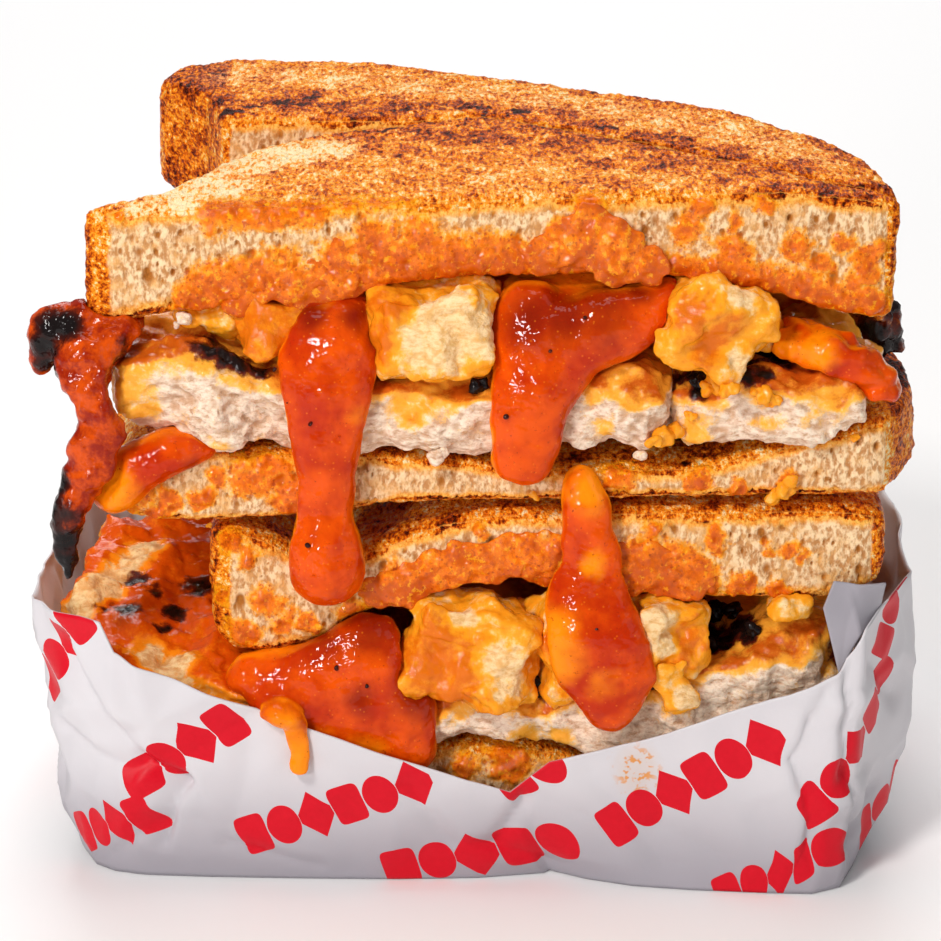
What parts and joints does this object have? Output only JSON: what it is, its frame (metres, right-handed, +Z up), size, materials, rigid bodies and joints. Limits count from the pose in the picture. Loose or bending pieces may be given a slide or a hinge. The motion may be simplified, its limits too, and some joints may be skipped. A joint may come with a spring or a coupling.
{
  "type": "chicken melt sandwich in a paper wrap",
  "caption": "Griddled chicken sandwich cut into halves that are stacked cut side out, with melted cheese and running sauce, standing in an open paper wrap.",
  "frame": {"origin": "centre of the resting surface, under the middle of the whole object's box", "axes": "+Z up; the cut faces look along -Y; +X runs to the viewer's right along the cut faces"},
  "size_m": [0.1531, 0.1053, 0.1251],
  "materials": {
    "toast": "granular golden-brown toasted crust over a matte cream crumb",
    "chicken": "satin torn meat with an orange glaze on its skin",
    "sauce": "wet glossy orange-red sauce",
    "cheese": "greasy bubbly melted cheese",
    "char": "glazed dark red skin, charred black at its ends",
    "paper": "matte white coated paper with slanted red print"
  },
  "bodies": {
    "root": {"lower_bottom_slice": "toast", "lower_top_slice": "toast", "upper_bottom_slice": "toast", "upper_front_slice": "toast", "upper_rear_slice": "toast", "lower_front_chicken": "chicken", "lower_left_chicken": "chicken", "lower_rear_chicken": "chicken", "lower_middle_chunk": "chicken", "lower_covered_chunk": "chicken", "lower_right_chunk": "chicken", "lower_small_chunk": "chicken", "lower_right_nugget": "chicken", "upper_left_chicken": "chicken", "upper_right_chicken": "chicken", "upper_rear_chicken": "chicken", "upper_sliver": "chicken", "upper_left_chunk": "chicken", "upper_middle_chunk": "chicken", "upper_right_chunk": "chicken", "upper_right_flake": "chicken", "upper_left_cheese": "cheese", "upper_right_cheese": "cheese", "lower_cheese": "cheese", "upper_sauce": "sauce", "left_sauce": "sauce", "right_sauce": "sauce", "middle_sauce": "sauce", "lower_sauce": "sauce", "charred_strip": "char", "paper_wrap": "paper"}
  },
  "joints": []
}
